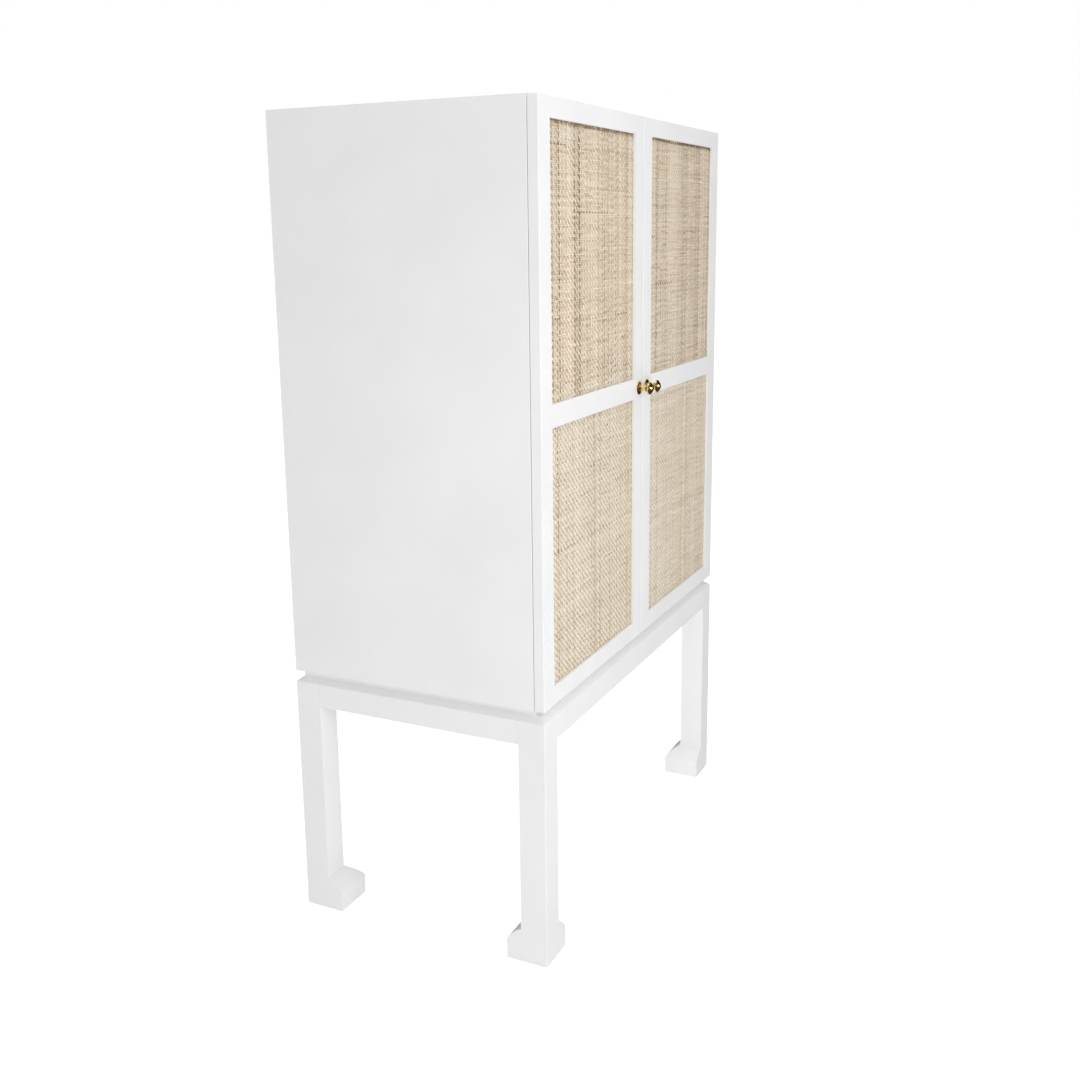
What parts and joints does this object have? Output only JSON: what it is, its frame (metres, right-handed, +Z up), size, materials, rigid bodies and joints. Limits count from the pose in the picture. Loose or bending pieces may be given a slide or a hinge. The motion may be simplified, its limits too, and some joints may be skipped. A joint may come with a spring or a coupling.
{
  "type": "cabinet on stand",
  "caption": "Two-door storage cabinet with woven panels in white frames, held off a four-legged stand with block feet by a recessed neck; shelves inside",
  "frame": {"origin": "on the floor under the middle of the bounding box", "axes": "+Z up, the doors face -Y, +X to the right of someone facing the doors"},
  "size_m": [0.914, 0.546, 1.489],
  "materials": {
    "white_lacquer": "sprayed satin white lacquer on wood",
    "woven_rattan": "natural woven rattan peel, matt with a soft sheen",
    "backer_board": "stained fibreboard",
    "polished_brass": "polished",
    "hinge_steel": "nickel plated",
    "zinc_steel": "zinc plated",
    "magnet": "ground ferrite and steel",
    "catch_plastic": "moulded, matt",
    "glide_nylon": "moulded nylon",
    "bumper_rubber": "soft, translucent",
    "bare_beech": "unfinished"
  },
  "bodies": {
    "cabinet": {"back_panel": "white_lacquer", "back_panel_screws": "zinc_steel", "bottom_panel": "white_lacquer", "case_dowels": "bare_beech", "catch_magnets": "magnet", "corner_bolts": "zinc_steel", "corner_braces": "bare_beech", "foot_glides": "glide_nylon", "front_left_leg": "white_lacquer", "front_right_leg": "white_lacquer", "front_stand_rail": "white_lacquer", "hinge_arms": "hinge_steel", "hinge_plates": "hinge_steel", "left_side_panel": "white_lacquer", "left_stand_rail": "white_lacquer", "lower_shelf": "white_lacquer", "magnetic_catch": "catch_plastic", "middle_shelf": "white_lacquer", "neck_frame": "white_lacquer", "rear_left_leg": "white_lacquer", "rear_right_leg": "white_lacquer", "rear_stand_rail": "white_lacquer", "right_side_panel": "white_lacquer", "right_stand_rail": "white_lacquer", "shelf_pins": "zinc_steel", "stand_screws": "zinc_steel", "top_panel": "white_lacquer", "upper_shelf": "white_lacquer"},
    "left_door": {"left_door_backers": "backer_board", "left_door_bottom_rail": "white_lacquer", "left_door_bumpers": "bumper_rubber", "left_door_hinge_cups": "hinge_steel", "left_door_hinge_stile": "white_lacquer", "left_door_knob": "polished_brass", "left_door_knob_screw": "zinc_steel", "left_door_lower_weave": "woven_rattan", "left_door_meeting_stile": "white_lacquer", "left_door_mid_rail": "white_lacquer", "left_door_panel_beads": "white_lacquer", "left_door_rosette": "polished_brass", "left_door_strike_plate": "zinc_steel", "left_door_top_rail": "white_lacquer", "left_door_upper_weave": "woven_rattan"},
    "right_door": {"right_door_backers": "backer_board", "right_door_bottom_rail": "white_lacquer", "right_door_bumpers": "bumper_rubber", "right_door_hinge_cups": "hinge_steel", "right_door_hinge_stile": "white_lacquer", "right_door_knob": "polished_brass", "right_door_knob_screw": "zinc_steel", "right_door_lower_weave": "woven_rattan", "right_door_meeting_stile": "white_lacquer", "right_door_mid_rail": "white_lacquer", "right_door_panel_beads": "white_lacquer", "right_door_rosette": "polished_brass", "right_door_strike_plate": "zinc_steel", "right_door_top_rail": "white_lacquer", "right_door_upper_weave": "woven_rattan"}
  },
  "joints": [
    {"name": "left_door_hinge", "type": "hinge", "parent": "cabinet", "child": "left_door", "pos_m": [-0.4565, -0.2335, 0.985], "axis": [0, 0, -1], "range_deg": [0, 110]},
    {"name": "right_door_hinge", "type": "hinge", "parent": "cabinet", "child": "right_door", "pos_m": [0.4565, -0.2335, 0.985], "axis": [0, 0, 1], "range_deg": [0, 110]}
  ]
}
